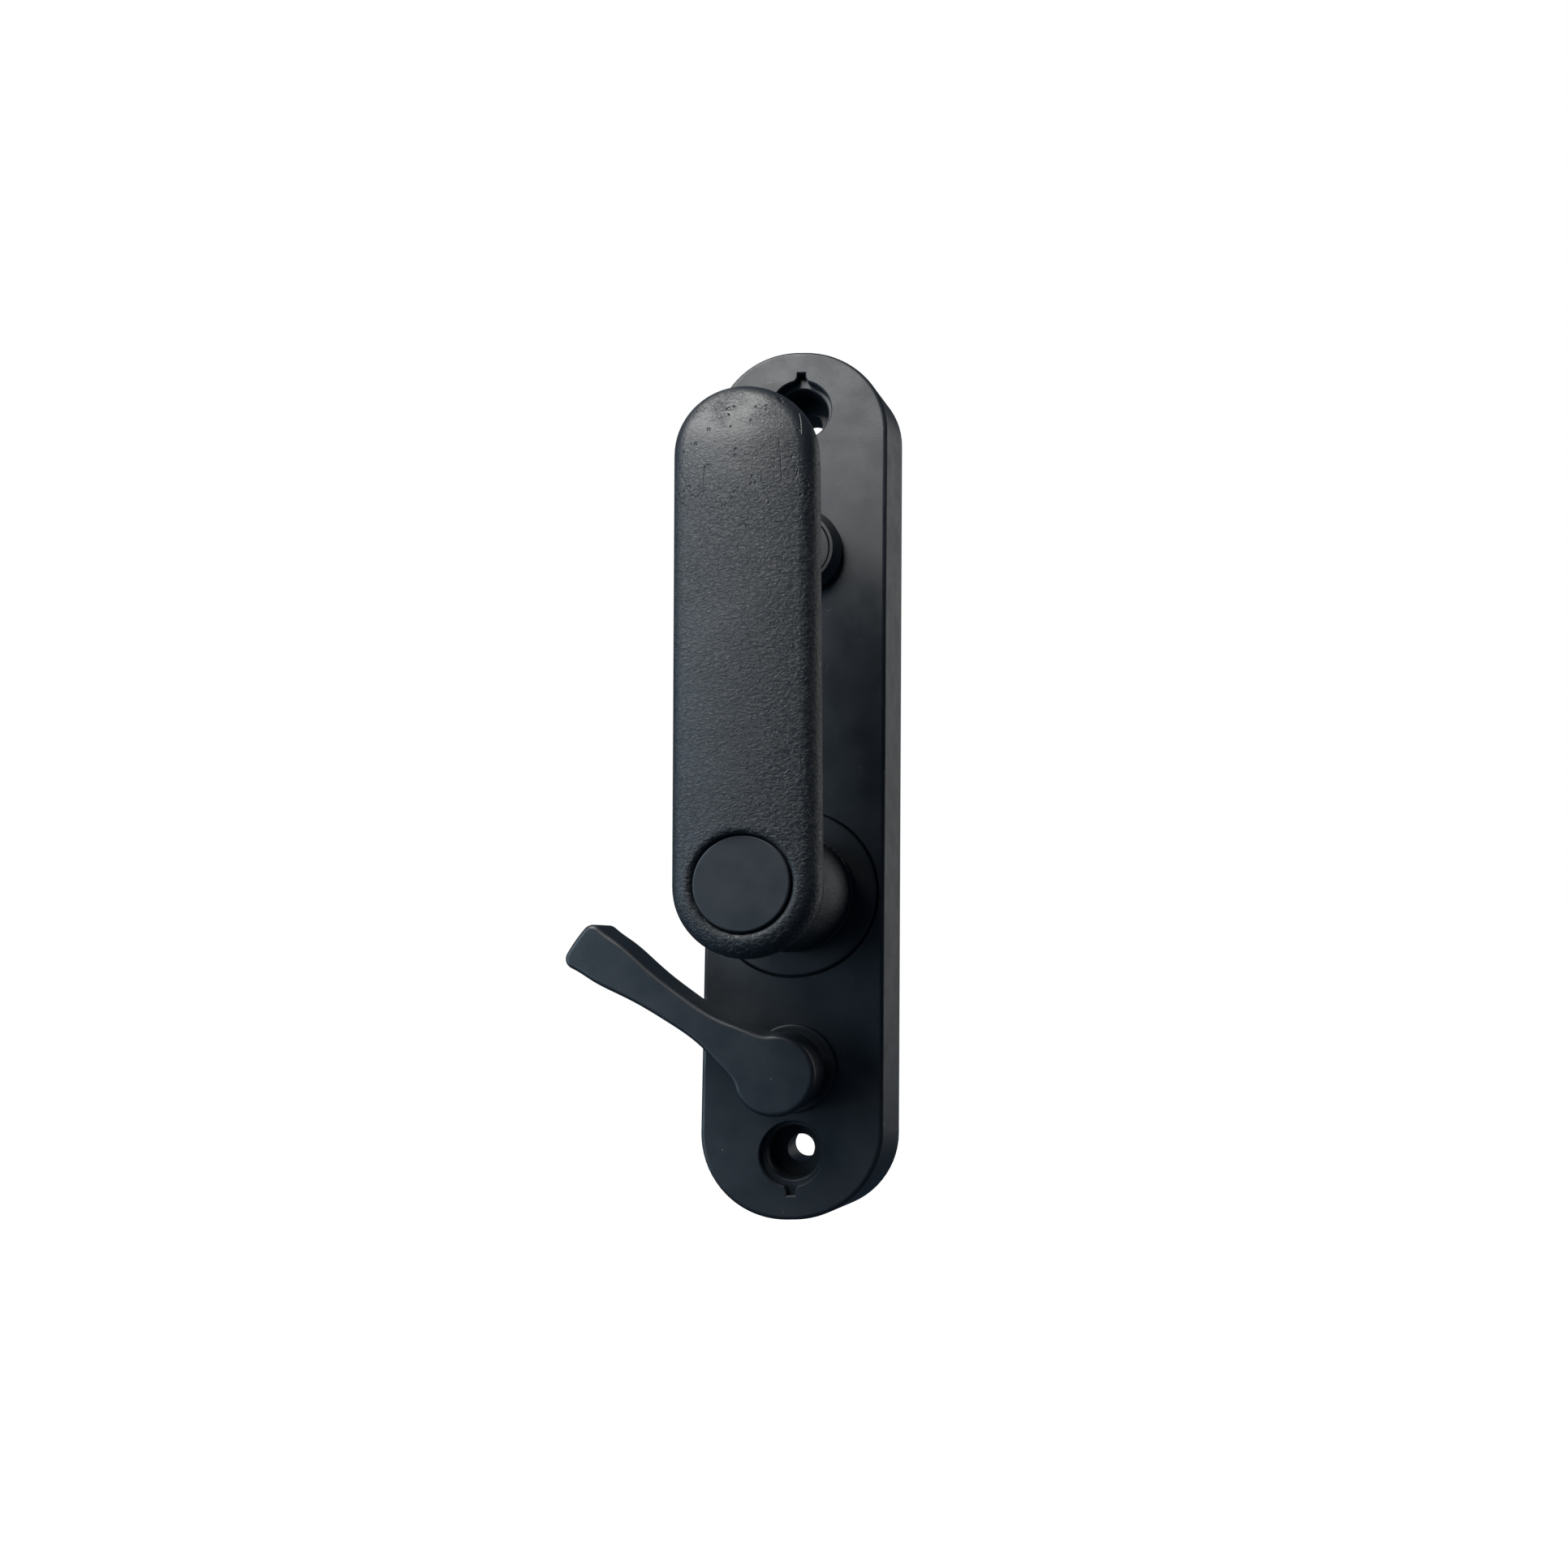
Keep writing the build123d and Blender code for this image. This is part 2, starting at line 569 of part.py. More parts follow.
with BuildPart() as latch_lever:
    with BuildSketch(arm_plane(latch_back)) as arm_outline:
        with BuildLine():
            head_r = latch_head_d / 2
            leave = radians(50)
            waist = latch_waist / 2
            tip = latch_tip / 2
            edge = Spline((head_r * cos(leave), head_r * sin(leave)), (latch_length * 0.21, waist * 1.45),
                          (latch_length * 0.32, waist * 1.08), (latch_length * 0.5, waist),
                          (latch_length * 0.67, waist * 1.17), (latch_length * 0.84, waist * 1.5),
                          (latch_length - latch_bow, tip), tangents=((sin(leave), -cos(leave)), (1, 0.22)))
            mirror(edge, about=Plane.XZ)
            ThreePointArc(edge @ 1, (latch_length, 0), (latch_length - latch_bow, -tip))
            ThreePointArc(edge @ 0, (-head_r, 0), (head_r * cos(leave), -head_r * sin(leave)))
        make_face()
        fillet(arm_outline.vertices().group_by(Axis.X)[-1], radius=latch_corner_r)
    extrude(amount=latch_thick)
    rims = latch_lever.faces().filter_by(Axis.Y)
    fillet([e for f in rims for e in f.edges()], radius=latch_edge_r)
    # the stem, the journal and its groove
    with BuildSketch(turning_plane(latch_z)):
        with BuildLine():
            Polyline((0, latch_back + 1.0), (latch_stem_d / 2, latch_back + 1.0),
                     (latch_stem_d / 2, latch_foot),
                     (latch_journal_d / 2, latch_foot), (latch_journal_d / 2, latch_clip_top),
                     (latch_groove_r, latch_clip_top), (latch_groove_r, latch_clip_top - latch_clip_thick),
                     (latch_journal_d / 2 - 0.2, latch_clip_top - latch_clip_thick),
                     (latch_journal_d / 2 - 0.2, latch_end), (0, latch_end), close=True)
        make_face()
    revolve(axis=Axis((0, 0, latch_z), (0, -1, 0)))
    with BuildSketch(front_plane(latch_end)):
        with Locations((0, latch_z)):
            Rectangle(2 * latch_socket, 2 * latch_socket)
    extrude(amount=latch_front - latch_skin - latch_end, mode=Mode.SUBTRACT)
    # the grub screw's hole comes up from below to the spindle
    with BuildSketch(Plane(origin=(0, -grub_h, latch_z - head_r - 1.0), z_dir=(0, 0, 1))):
        Circle(grub_r)
    extrude(amount=head_r + 1.0, mode=Mode.SUBTRACT)

with BuildPart() as latch_spindle:
    with BuildSketch(front_plane(-latch_tail)):
        with Locations((0, latch_z)):
            Rectangle(latch_side, latch_side)
    extrude(amount=latch_tail + latch_front - latch_skin - tip_room)
    chamfer(latch_spindle.faces().sort_by(Axis.Y)[-1].edges(), length=0.5)

with BuildPart() as latch_grub_screw:
    with BuildSketch(Plane(origin=(0, -grub_h, latch_z - latch_side / 2 - grub_length), z_dir=(0, 0, 1))):
        Circle(grub_r)
    extrude(amount=grub_length)
    with BuildSketch(Plane(origin=(0, -grub_h, latch_z - latch_side / 2 - grub_length), z_dir=(0, 0, 1))):
        RegularPolygon(grub_r / 2, 6, major_radius=False)
    extrude(amount=1.4, mode=Mode.SUBTRACT)

latch_bore = latch_journal_d / 2 + turn_clear
with BuildPart() as latch_bush:
    with BuildSketch(turning_plane(latch_z)):
        with BuildLine():
            Polyline((latch_bore, bush_back), (rose_stem_d / 2, bush_back), (rose_stem_d / 2, plate_thick),
                     (rose_d / 2, plate_thick), (rose_d / 2, plate_thick + rose_rise),
                     (latch_bore, plate_thick + rose_rise), close=True)
        make_face()
    revolve(axis=Axis((0, 0, latch_z), (0, -1, 0)))
    fillet(latch_bush.edges().filter_by(GeomType.CIRCLE).group_by(Axis.Y)[0].sort_by(SortBy.RADIUS)[-1],
           radius=0.4)

with BuildPart() as latch_nut:
    add(hex_nut(z=latch_z, flats=rose_stem_d + 2 * latch_nut_rim, bore_r=rose_stem_d / 2,
                low=inner_face - nut_thick,
                high=inner_face))

with BuildPart() as latch_washer:
    add(tube(latch_z, rose_stem_d / 2, latch_journal_d / 2 + fit_clear, latch_clip_top,
             bush_back - face_clear))

with BuildPart() as latch_clip:
    add(shaft_clip(z=latch_z, groove_r=latch_groove_r, outer_r=rose_stem_d / 2,
                   low=latch_clip_top - latch_clip_thick,
                   thick=latch_clip_thick))

# ------------------------------------------------------------------ the key lock and its bolt
barrel_face = plate_thick + barrel_rise
plug_face = barrel_face - 0.3
plug_bore = plug_d / 2 + turn_clear
head_bore = plug_head_d / 2 + turn_clear
head_back = plug_face - plug_head_thick
head_seat = head_back - fit_clear
with BuildPart() as lock_barrel:
    with BuildSketch(turning_plane(lock_z)):
        with BuildLine():
            Polyline((plug_bore, barrel_back), (barrel_d / 2, barrel_back), (barrel_d / 2, plate_thick),
                     (barrel_flange_d / 2, plate_thick), (barrel_flange_d / 2, barrel_face - barrel_bevel),
                     (barrel_flange_d / 2 - barrel_bevel, barrel_face), (head_bore, barrel_face),
                     (head_bore, head_seat), (plug_bore, head_seat), close=True)
        make_face()
    revolve(axis=Axis((0, 0, lock_z), (0, -1, 0)))

with BuildPart() as barrel_nut:
    add(hex_nut(z=lock_z, flats=barrel_d + 2 * barrel_nut_rim, bore_r=barrel_d / 2,
                low=inner_face - nut_thick,
                high=inner_face))

crank_low = plug_end - crank_thick
keyed_face = plug_face - 0.4
with BuildPart() as key_plug:
    with BuildSketch(turning_plane(lock_z)):
        with BuildLine():
            Polyline((0, plug_end), (plug_d / 2, plug_end), (plug_d / 2, head_back),
                     (plug_head_d / 2, head_back), (plug_head_d / 2, keyed_face),
                     (plug_head_d / 2 - 0.4, plug_face), (0, plug_face), close=True)
        make_face()
    revolve(axis=Axis((0, 0, lock_z), (0, -1, 0)))
    # the keyway, with a wider mouth, and the tapped hole for the crank's screw
    with BuildSketch(front_plane(barrel_face)):
        with Locations((0, lock_z)):
            Rectangle(keyway_width, keyway_high)
    extrude(amount=-keyway_depth, mode=Mode.SUBTRACT)
    with BuildSketch(front_plane(plug_end)):
        with Locations((0, lock_z)):
            Circle(small_screw_r)
    extrude(amount=crank_screw_grip, mode=Mode.SUBTRACT)

with BuildPart() as key_crank:
    with BuildSketch(front_plane(crank_low)):
        with Locations((0, lock_z)):
            Circle(crank_d / 2)
    extrude(amount=crank_thick)
    with BuildSketch(front_plane(bolt_bottom)):
        with Locations((pin_x, pin_z)):
            Circle(crank_pin_d / 2)
    extrude(amount=crank_low - bolt_bottom)
    with Locations(Location((0, -crank_low, lock_z), (-90, 0, 0))):
        CounterSinkHole(radius=small_screw_r, counter_sink_radius=small_head_r + 0.05, depth=crank_thick)

with BuildPart() as crank_screw:
    with Locations((0, -crank_low, lock_z)):
        add(screw(head_r=small_head_r, head_high=small_head_high, shank_r=small_screw_r,
                  length=crank_thick + crank_screw_grip, sunk=True), rotation=(0, 0, 180))

slot_half = crank_pin_d / 2 + slide_clear
with BuildPart() as lock_bolt:
    with BuildSketch(front_plane(bolt_bottom)):
        with Locations((0, (bolt_tip_z + head_low + 1) / 2)):
            Rectangle(bolt_width, head_low + 1 - bolt_tip_z)
        with Locations((0, (head_low + head_high) / 2)):
            Rectangle(bolt_head_width, head_high - head_low)
        # the crank pin's slot is open to one side, so that the head drops over the pin
        with Locations((pin_x + bolt_head_width / 2 - slot_half - 0.6, pin_z)):
            Rectangle(bolt_head_width, 2 * slot_half, mode=Mode.SUBTRACT)
    extrude(amount=bolt_thick)
    chamfer(lock_bolt.edges().filter_by(Axis.Y).group_by(Axis.Z)[0], length=1.0)

rail_low = bolt_bottom - 0.4
with BuildPart() as bolt_guide:
    with BuildSketch(front_plane(guide_wing)):
        with Locations((0, guide_z)):
            RectangleRounded(guide_width, guide_high, 1.5)
    extrude(amount=inner_face - guide_wing)
    with BuildSketch(front_plane(rail_low)):
        with Locations((0, guide_z)):
            Rectangle(2 * rail_out, guide_high)
            Rectangle(2 * rail_in, guide_high, mode=Mode.SUBTRACT)
    extrude(amount=guide_wing - rail_low + root)
    guide_screw_xs = (-guide_screw_x, guide_screw_x)
    with Locations(*[Location((x, -guide_wing, guide_z), (-90, 0, 0)) for x in guide_screw_xs]):
        Hole(radius=small_screw_r, depth=inner_face - guide_wing)

guide_screw = screw(head_r=guide_head_r, head_high=guide_head_high, shank_r=small_screw_r,
                    length=inner_face - guide_wing + guide_screw_bite)
with BuildPart() as guide_screws:
    with Locations((-guide_screw_x, -guide_wing, guide_z), (guide_screw_x, -guide_wing, guide_z)):
        add(guide_screw, rotation=(0, 0, 180))

# the cover plate is drilled last for the screws that enter it from behind
with BuildPart() as finished_plate:
    add(cover_plate.part)
    with BuildSketch(front_plane(inner_face)):
        with Locations(*collar_screw_spots):
            Circle(collar_screw_r)
    extrude(amount=collar_seat - inner_face, mode=Mode.SUBTRACT)
    with BuildSketch(front_plane(inner_face)):
        with Locations((-guide_screw_x, guide_z), (guide_screw_x, guide_z)):
            Circle(small_screw_r)
    extrude(amount=guide_screw_bite, mode=Mode.SUBTRACT)

# ------------------------------------------------------------------ one file for each piece
pieces = {
    "cover_plate": finished_plate, "back_cover": back_cover, "cover_screws": cover_screws,
    "neck_collar": neck_collar, "collar_screws": collar_screws, "lock_barrel": lock_barrel,
    "barrel_nut": barrel_nut, "bolt_guide": bolt_guide, "guide_screws": guide_screws,
    "latch_bush": latch_bush, "latch_nut": latch_nut, "handle_lever": handle_lever,
    "handle_cap": handle_cap, "drive_spindle": drive_spindle, "spindle_screw": spindle_screw,
    "spindle_cam": spindle_cam, "spring_washer": spring_washer, "handle_clip": handle_clip,
    "latch_lever": latch_lever, "latch_spindle": latch_spindle, "latch_grub_screw": latch_grub_screw,
    "latch_washer": latch_washer, "latch_clip": latch_clip, "key_plug": key_plug,
    "key_crank": key_crank, "crank_screw": crank_screw, "lock_bolt": lock_bolt,
}
os.makedirs("parts", exist_ok=True)
for name, piece in pieces.items():
    piece.part.label = name
    export_step(piece.part, f"parts/{name}.step")
print("bolt travel", round(bolt_travel, 3), "mm")
print("fixing holes", round(fixing_zs[0] - fixing_zs[1], 3), "mm apart")
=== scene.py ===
import bpy
import bmesh
import json
import math
from mathutils import Matrix, Vector


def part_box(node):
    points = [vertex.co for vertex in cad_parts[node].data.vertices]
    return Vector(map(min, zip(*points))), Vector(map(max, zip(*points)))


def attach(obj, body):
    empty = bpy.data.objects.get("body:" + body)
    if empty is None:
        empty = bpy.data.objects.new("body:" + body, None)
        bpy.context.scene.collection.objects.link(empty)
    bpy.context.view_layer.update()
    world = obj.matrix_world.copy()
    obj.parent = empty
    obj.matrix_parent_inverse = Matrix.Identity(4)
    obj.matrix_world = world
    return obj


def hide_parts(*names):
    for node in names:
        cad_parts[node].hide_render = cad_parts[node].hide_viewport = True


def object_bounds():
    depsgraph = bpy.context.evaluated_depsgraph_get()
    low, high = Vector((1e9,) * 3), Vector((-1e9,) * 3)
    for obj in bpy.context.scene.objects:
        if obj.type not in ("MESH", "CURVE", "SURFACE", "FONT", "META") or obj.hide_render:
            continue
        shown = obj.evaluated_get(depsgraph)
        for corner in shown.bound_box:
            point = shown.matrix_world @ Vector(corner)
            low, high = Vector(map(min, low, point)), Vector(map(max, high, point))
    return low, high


# Window handle on a long plate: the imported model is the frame, this script gives it its looks.
# Everything is in metres, +Z up, the front of the plate looks along -Y.

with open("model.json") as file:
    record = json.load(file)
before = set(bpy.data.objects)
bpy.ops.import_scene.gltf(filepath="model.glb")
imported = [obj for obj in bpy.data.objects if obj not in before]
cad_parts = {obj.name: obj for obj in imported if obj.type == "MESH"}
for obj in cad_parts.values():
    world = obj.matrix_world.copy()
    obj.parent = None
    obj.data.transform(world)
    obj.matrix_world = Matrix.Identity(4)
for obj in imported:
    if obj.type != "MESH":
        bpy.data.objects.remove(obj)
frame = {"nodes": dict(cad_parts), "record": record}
cadLow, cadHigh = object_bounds()
nodes = frame["nodes"]
mm = 0.001
mergeGap = 0.002 * mm
sharpAngle = 32  # degrees, edges turning more than this stay crisp
print("stage 1: frame loaded,", len(nodes), "nodes")


# ---- camera ----

viewpoint = {
    "eye": (0.0671, -0.2501, -0.0131),
    "ahead": (0.0039, 0.9965, 0.0839),
    "up": (0.0109, -0.0839, 0.9964),
    "lens": 23.96,
    "sensor": 36.0,
    "shift": (-0.1988, 0.0487),  # the object stands left of the lens axis
}


def setCamera():
    lensData = bpy.data.cameras.new("studioCamera")
    lensData.lens = viewpoint["lens"]
    lensData.sensor_width = viewpoint["sensor"]
    lensData.shift_x, lensData.shift_y = viewpoint["shift"]
    lensData.clip_start = 0.01
    camera = bpy.data.objects.new("studioCamera", lensData)
    bpy.context.scene.collection.objects.link(camera)
    back = -Vector(viewpoint["ahead"]).normalized()
    side = Vector(viewpoint["up"]).cross(back).normalized()
    rise = back.cross(side)
    turn = Matrix((side, rise, back)).transposed().to_4x4()
    camera.matrix_world = Matrix.Translation(viewpoint["eye"]) @ turn
    bpy.context.scene.camera = camera


setCamera()
print("stage 2: camera set")


# ---- node helpers ----

def addNode(tree, kind, **settings):
    made = tree.nodes.new(kind)
    for name, value in settings.items():
        setattr(made, name, value)
    return made


def plug(tree, source, target):
    tree.links.new(source, target)


def feed(tree, made, inputs):
    for name, value in inputs.items():
        if isinstance(value, bpy.types.NodeSocket):
            plug(tree, value, made.inputs[name])
        else:
            made.inputs[name].default_value = value
    return made


def placeOnPiece(tree, stretch=(1, 1, 1), turn=(0, 0, 0)):
    coords = addNode(tree, "ShaderNodeTexCoord")
    mapping = addNode(tree, "ShaderNodeMapping")
    feed(tree, mapping, {"Vector": coords.outputs["Object"], "Scale": stretch, "Rotation": turn})
    return mapping.outputs["Vector"]


def cloud(tree, where, scale, detail=4.0, rough=0.55, twist=0.0):
    made = addNode(tree, "ShaderNodeTexNoise")
    feed(tree, made, {"Vector": where, "Scale": scale, "Detail": detail})
    feed(tree, made, {"Roughness": rough, "Distortion": twist})
    return made.outputs["Fac"]


def cells(tree, where, scale, feature="F1"):
    made = addNode(tree, "ShaderNodeTexVoronoi", feature=feature)
    feed(tree, made, {"Vector": where, "Scale": scale})
    return made.outputs["Distance"]


def remap(tree, value, low, high, toLow=0.0, toHigh=1.0):
    made = addNode(tree, "ShaderNodeMapRange", interpolation_type="SMOOTHSTEP")
    feed(tree, made, {"Value": value, "From Min": low, "From Max": high, "To Min": toLow, "To Max": toHigh})
    return made.outputs["Result"]


def calc(tree, operation, first, second):
    made = addNode(tree, "ShaderNodeMath", operation=operation)
    feed(tree, made, {0: first, 1: second})
    return made.outputs[0]


def blendColour(tree, amount, first, second):
    made = addNode(tree, "ShaderNodeMix", data_type="RGBA")
    for index, value in ((0, amount), (6, first), (7, second)):
        if isinstance(value, bpy.types.NodeSocket):
            plug(tree, value, made.inputs[index])
        else:
            made.inputs[index].default_value = value if index == 0 else (*value, 1.0)
    return made.outputs[2]


def relief(tree, height, depth, under=None, strength=1.0):
    made = addNode(tree, "ShaderNodeBump")
    feed(tree, made, {"Height": height, "Distance": depth, "Strength": strength})
    if under is not None:
        plug(tree, under, made.inputs["Normal"])
    return made.outputs["Normal"]


def axisValue(tree, axis):
    coords = addNode(tree, "ShaderNodeTexCoord")
    split = addNode(tree, "ShaderNodeSeparateXYZ")
    plug(tree, coords.outputs["Object"], split.inputs[0])
    return split.outputs[axis]


def startFinish(name):
    finish = bpy.data.materials.new(name)
    finish.use_nodes = True
    tree = finish.node_tree
    return finish, tree, tree.nodes["Principled BSDF"]


def scratchMask(tree, scale, thin, keep, turn):
    lines = cells(tree, placeOnPiece(tree, (1.0, 1.0, 0.12), (0, turn, 0)), scale, "DISTANCE_TO_EDGE")
    line = remap(tree, lines, thin, 0.0)
    patch = remap(tree, cloud(tree, placeOnPiece(tree), scale * 0.9, 2.0), keep, keep + 0.06)
    return calc(tree, "MULTIPLY", line, patch)


def speckMask(tree, scale, size, keep):
    dots = remap(tree, cells(tree, placeOnPiece(tree), scale), size, size * 0.5)
    patch = remap(tree, cloud(tree, placeOnPiece(tree), scale * 0.35, 2.0), keep, keep + 0.05)
    return calc(tree, "MULTIPLY", dots, patch)


# ---- finishes ----

dustGrey = (0.16, 0.17, 0.18)
satinPaint = {
    "black_plate": {
        "dark": (0.0085, 0.0125, 0.017), "light": (0.015, 0.019, 0.024),
        "rough": 0.46, "peel": 0.018, "peelScale": 2600, "specks": 0.66, "scratches": 0.62,
    },
    "black_latch": {
        "dark": (0.0108, 0.0150, 0.0200), "light": (0.019, 0.024, 0.029),
        "rough": 0.43, "peel": 0.016, "peelScale": 2200, "specks": 0.60, "scratches": 0.66,
    },
    "black_nylon": {
        "dark": (0.006, 0.0095, 0.014), "light": (0.010, 0.0135, 0.018),
        "rough": 0.52, "peel": 0.014, "peelScale": 3200, "specks": 0.72, "scratches": 0.72,
    },
    "black_cap": {
        "dark": (0.011, 0.0155, 0.021), "light": (0.018, 0.022, 0.027),
        "rough": 0.48, "peel": 0.010, "peelScale": 3000, "specks": 0.70, "scratches": 0.60,
    },
    "black_lock": {
        "dark": (0.006, 0.008, 0.011), "light": (0.020, 0.021, 0.022),
        "rough": 0.50, "peel": 0.020, "peelScale": 1800, "specks": 0.60, "scratches": 0.58,
    },
}


def satinFinish(name, look):
    finish, tree, shader = startFinish(name)
    drift = cloud(tree, placeOnPiece(tree), 55.0, 5.0, 0.6, 0.4)
    paint = blendColour(tree, remap(tree, drift, 0.38, 0.66), look["dark"], look["light"])
    specks = speckMask(tree, 900.0, 0.20, look["specks"])
    scratches = calc(tree, "MAXIMUM", scratchMask(tree, 46.0, 0.0035, look["scratches"], 0.5),
                     scratchMask(tree, 70.0, 0.0030, look["scratches"] + 0.03, -1.1))
    marks = calc(tree, "MAXIMUM", specks, calc(tree, "MULTIPLY", scratches, 0.7))
    coat = blendColour(tree, calc(tree, "MULTIPLY", marks, 0.55), paint, dustGrey)
    plug(tree, coat, shader.inputs["Base Color"])
    haze = cloud(tree, placeOnPiece(tree), 160.0, 4.0)
    rough = remap(tree, haze, 0.3, 0.7, look["rough"] - 0.05, look["rough"] + 0.06)
    plug(tree, rough, shader.inputs["Roughness"])
    peel = cloud(tree, placeOnPiece(tree), look["peelScale"], 3.0)
    normal = relief(tree, peel, look["peel"] * mm)
    normal = relief(tree, calc(tree, "SUBTRACT", 1.0, scratches), 0.02 * mm, normal)
    plug(tree, normal, shader.inputs["Normal"])
    shader.inputs["Specular IOR Level"].default_value = 0.5
    return finish


grainPaint = {
    "dark": (0.0095, 0.0135, 0.018), "light": (0.024, 0.027, 0.031),
    "rough": 0.47, "wornTopAndPaintedHighlight": 0.40,
    "streakScale": 1050.0, "streakStretch": (1.0, 1.0, 1.6),
    "streakDepth": 0.10, "pebbleDepth": 0.03,
    "wornFrom": 72 * mm, "wornTo": 92 * mm,  # heights between which the grain fades into the worn end, whose colour is also lightened there as a painted highlight of the light from above
    "pitDepth": 0.16,
}


def grainFinish(name, look):
    finish, tree, shader = startFinish(name)
    where = placeOnPiece(tree, look["streakStretch"], (0, 0.10, 0))
    streaks = cloud(tree, where, look["streakScale"], 4.0, 0.6, 0.7)
    ridges = remap(tree, streaks, 0.40, 0.64)
    pebbles = cloud(tree, placeOnPiece(tree, (1, 1, 1.3)), 2400.0, 3.0, 0.5)
    patches = cloud(tree, placeOnPiece(tree), 62.0, 3.0, 0.5, 0.3)
    height = axisValue(tree, "Z")
    # worn top and painted highlight: above wornFrom the grain fades and, patch by patch, the colour is
    # lightened like the overhead light's highlight
    wornTopAndPaintedHighlight = calc(tree, "MULTIPLY", remap(tree, height, look["wornFrom"], look["wornTo"]),
                remap(tree, patches, 0.34, 0.52))
    patchy = remap(tree, patches, 0.30, 0.62, 0.55, 1.0)
    keep = calc(tree, "MULTIPLY", calc(tree, "SUBTRACT", 1.0, calc(tree, "MULTIPLY", wornTopAndPaintedHighlight, 0.85)), patchy)
    pits = calc(tree, "MULTIPLY", speckMask(tree, 720.0, 0.34, 0.54),
                remap(tree, height, look["wornFrom"] - 20 * mm, look["wornTo"]))
    scuffs = calc(tree, "MULTIPLY", scratchMask(tree, 90.0, 0.012, 0.56, 0.35),
                  remap(tree, height, look["wornFrom"], look["wornTo"]))
    tone = calc(tree, "MULTIPLY", ridges, keep)
    paint = blendColour(tree, calc(tree, "MULTIPLY", tone, 0.35), look["dark"], look["light"])
    # painted highlight: the grip's top is mixed towards the light tone, standing in for light falling from
    # above
    paint = blendColour(tree, calc(tree, "MULTIPLY", wornTopAndPaintedHighlight, 0.45), paint, look["light"])
    wounds = calc(tree, "MAXIMUM", pits, scuffs)
    paint = blendColour(tree, calc(tree, "MULTIPLY", wounds, 0.6), paint, (0.005, 0.006, 0.008))
    plug(tree, paint, shader.inputs["Base Color"])
    plug(tree, remap(tree, wornTopAndPaintedHighlight, 0.0, 1.0, look["rough"], look["wornTopAndPaintedHighlight"]), shader.inputs["Roughness"])
    normal = relief(tree, calc(tree, "MULTIPLY", pebbles, keep), look["pebbleDepth"] * mm)
    normal = relief(tree, calc(tree, "MULTIPLY", ridges, keep), look["streakDepth"] * mm, normal)
    normal = relief(tree, calc(tree, "SUBTRACT", 1.0, wounds), look["pitDepth"] * mm, normal)
    plug(tree, normal, shader.inputs["Normal"])
    shader.inputs["Specular IOR Level"].default_value = 0.5
    return finish


metalLook = {
    "zinc_sheet": {"dark": (0.42, 0.43, 0.44), "light": (0.60, 0.61, 0.62), "rough": 0.36,
                   "stretch": (1, 1, 1), "scale": 260.0},
    "zinc_bar": {"dark": (0.44, 0.45, 0.46), "light": (0.62, 0.62, 0.63), "rough": 0.32,
                 "stretch": (6, 0.25, 6), "scale": 320.0},
    "zinc_screw": {"dark": (0.46, 0.46, 0.45), "light": (0.66, 0.66, 0.65), "rough": 0.28,
                   "stretch": (1, 1, 1), "scale": 700.0},
    "spring_steel": {"dark": (0.12, 0.12, 0.13), "light": (0.22, 0.22, 0.23), "rough": 0.38,
                     "stretch": (1, 1, 1), "scale": 500.0},
}


def metalFinish(name, look):
    finish, tree, shader = startFinish(name)
    grain = cloud(tree, placeOnPiece(tree, look["stretch"]), look["scale"], 4.0, 0.6)
    spangle = addNode(tree, "ShaderNodeTexVoronoi")
    feed(tree, spangle, {"Vector": placeOnPiece(tree), "Scale": look["scale"] * 0.5})
    mottled = calc(tree, "MULTIPLY", grain, remap(tree, spangle.outputs["Distance"], 0.0, 0.8, 0.8, 1.2))
    colour = blendColour(tree, remap(tree, mottled, 0.3, 0.7), look["dark"], look["light"])
    plug(tree, colour, shader.inputs["Base Color"])
    rough = remap(tree, grain, 0.25, 0.75, look["rough"] - 0.06, look["rough"] + 0.10)
    plug(tree, rough, shader.inputs["Roughness"])
    plug(tree, relief(tree, grain, 0.012 * mm), shader.inputs["Normal"])
    shader.inputs["Metallic"].default_value = 1.0
    return finish


finishes = {slot: satinFinish(slot, look) for slot, look in satinPaint.items()}
finishes["black_grained"] = grainFinish("black_grained", grainPaint)
for slotName, look in metalLook.items():
    finishes[slotName] = metalFinish(slotName, look)


def dressNodes():
    for row in frame["record"]["subparts"]:
        held = nodes[row["node"]]
        held.data.materials.clear()
        held.data.materials.append(finishes[row["material_slot"]])


dressNodes()
print("stage 3:", len(finishes), "finishes made and put on the frame's nodes")


# ---- geometry node helpers ----

pathRadius = 0.0001 * mm  # the path is only a point that the outline turns about

def newTree(name, inputs):
    tree = bpy.data.node_groups.new(name, "GeometryNodeTree")
    for label, kind in inputs:
        tree.interface.new_socket(label, in_out="INPUT", socket_type="NodeSocket" + kind)
    tree.interface.new_socket("Geometry", in_out="OUTPUT", socket_type="NodeSocketGeometry")
    start = tree.nodes.new("NodeGroupInput").outputs
    return tree, start


def finishTree(tree, shape, finish):
    real = addNode(tree, "GeometryNodeRealizeInstances")
    plug(tree, shape, real.inputs[0])
    coat = addNode(tree, "GeometryNodeSetMaterial")
    feed(tree, coat, {"Geometry": real.outputs[0], "Material": finish})
    end = tree.nodes.new("NodeGroupOutput")
    plug(tree, coat.outputs[0], end.inputs[0])


def spot(tree, radius, height):
    made = addNode(tree, "ShaderNodeCombineXYZ")
    feed(tree, made, {"X": radius, "Y": height})
    return made.outputs[0]


